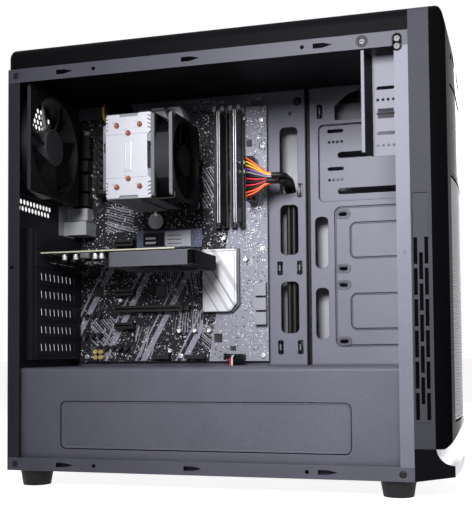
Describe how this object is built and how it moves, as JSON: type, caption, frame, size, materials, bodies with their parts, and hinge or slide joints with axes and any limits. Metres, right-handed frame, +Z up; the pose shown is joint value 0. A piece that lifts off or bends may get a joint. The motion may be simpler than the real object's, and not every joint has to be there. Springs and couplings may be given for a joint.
{
  "type": "desktop computer tower",
  "caption": "Upright desktop computer tower with its left side off: main board, tower cooler, fans, graphics card, memory and power supply in a black steel case with a silver-faced front.",
  "frame": {"origin": "on the floor under the middle of the overall box", "axes": "+Z up, the front faces -Y, the open left side faces -X"},
  "size_m": [0.198, 0.484, 0.48],
  "materials": {
    "steel_black": "fine textured satin black powder coat",
    "plastic_black": "fine grained black plastic",
    "gloss_black": "gloss black plastic",
    "silver_mesh": "silver paint",
    "silver_trim": "silver painted plastic",
    "foot_rubber": "matte",
    "screw_steel": "plated",
    "screw_black": "black oxide",
    "brass_post": "bare",
    "board_black": "satin solder mask",
    "socket_metal": "stamped tin plate",
    "sink_white": "satin white and silver",
    "sink_dark": "satin dark grey",
    "fin_metal": "bare",
    "pipe_copper": "bare copper",
    "connector_black": "moulded",
    "component_grey": "mixed small parts",
    "module_black": "black painted heat spreader",
    "fan_black": "moulded black",
    "cable_black": "braided sleeve",
    "wire_colours": "coloured insulation",
    "inlet_black": "moulded"
  },
  "bodies": {
    "case": {"bottom_pan": "steel_black", "top_plate": "steel_black", "rear_panel": "steel_black", "front_plate": "steel_black", "motherboard_tray": "steel_black", "psu_shroud": "steel_black", "bay_bracket": "steel_black", "slot_covers": "steel_black", "psu_case": "steel_black", "top_cover": "plastic_black", "front_bezel": "gloss_black", "bezel_vents": "plastic_black", "bezel_chin": "plastic_black", "bay_covers": "plastic_black", "front_mesh": "silver_mesh", "chin_trim": "silver_trim", "feet": "foot_rubber", "case_screws": "screw_steel", "fan_screws": "screw_black", "standoffs": "brass_post", "front_ports": "board_black", "motherboard": "board_black", "io_shield": "socket_metal", "io_ports": "socket_metal", "cpu_socket": "socket_metal", "vrm_heatsinks": "sink_dark", "chipset_heatsink": "sink_white", "memory_slots": "connector_black", "memory_modules": "module_black", "expansion_slots": "connector_black", "board_connectors": "connector_black", "m2_drive": "board_black", "board_components": "component_grey", "cooler_base": "fin_metal", "heat_pipes": "pipe_copper", "cooler_fins": "fin_metal", "cooler_top_plate": "fin_metal", "cooler_fan_frame": "fan_black", "fan_clips": "screw_steel", "graphics_board": "board_black", "graphics_bracket": "socket_metal", "graphics_cooler": "plastic_black", "rear_fan_frame": "fan_black", "psu_fan_frame": "fan_black", "psu_inlet": "inlet_black", "main_cable": "cable_black", "main_cable_wires": "wire_colours", "cpu_cable": "cable_black", "panel_leads": "cable_black"},
    "rear_fan": {"rear_fan_rotor": "fan_black"},
    "cooler_fan": {"cooler_fan_rotor": "fan_black"},
    "supply_fan": {"psu_fan_rotor": "fan_black"},
    "graphics_fan": {"graphics_fan_rotor": "fan_black"},
    "power_key": {"power_button": "gloss_black"},
    "reset_key": {"reset_button": "gloss_black"},
    "supply_switch": {"psu_switch": "inlet_black"},
    "latch_1": {"memory_latch_1": "connector_black"},
    "latch_3": {"memory_latch_3": "connector_black"},
    "closed_panel": {"right_side_panel": "steel_black", "panel_thumbscrews": "screw_black"}
  },
  "joints": [
    {"name": "rear_fan_spin", "type": "hinge", "parent": "case", "child": "rear_fan", "pos_m": [-0.036, 0.2352, 0.381], "axis": [0, 1, 0], "continuous": true},
    {"name": "cooler_fan_spin", "type": "hinge", "parent": "case", "child": "cooler_fan", "pos_m": [-0.024, 0.0795, 0.358], "axis": [0, 1, 0], "continuous": true},
    {"name": "supply_fan_spin", "type": "hinge", "parent": "case", "child": "supply_fan", "pos_m": [-0.0132, 0.1652, 0.0478], "axis": [0, 0, 1], "continuous": true},
    {"name": "graphics_fan_spin", "type": "hinge", "parent": "case", "child": "graphics_fan", "pos_m": [-0.004, 0.09, 0.2535], "axis": [0, 0, 1], "continuous": true},
    {"name": "power_press", "type": "slide", "parent": "case", "child": "power_key", "axis": [0, 1, 0], "range_m": [0, 0.0024], "stiffness_N_per_m": 300, "springref_m": -0.0008},
    {"name": "reset_press", "type": "slide", "parent": "case", "child": "reset_key", "axis": [0, 1, 0], "range_m": [0, 0.002], "stiffness_N_per_m": 300, "springref_m": -0.0008},
    {"name": "supply_switch_rock", "type": "hinge", "parent": "case", "child": "supply_switch", "pos_m": [0.0288, 0.2342, 0.0578], "axis": [0, 0, 1], "range_deg": [-16, 0]},
    {"name": "latch_1_swing", "type": "hinge", "parent": "case", "child": "latch_1", "pos_m": [0.058, 0.043, 0.4316], "axis": [0, 1, 0], "range_deg": [0, 28]},
    {"name": "latch_3_swing", "type": "hinge", "parent": "case", "child": "latch_3", "pos_m": [0.058, 0.023, 0.4316], "axis": [0, 1, 0], "range_deg": [0, 28]},
    {"name": "closed_panel_slide", "type": "slide", "parent": "case", "child": "closed_panel", "axis": [0, 1, 0], "range_m": [0, 0.02]}
  ]
}
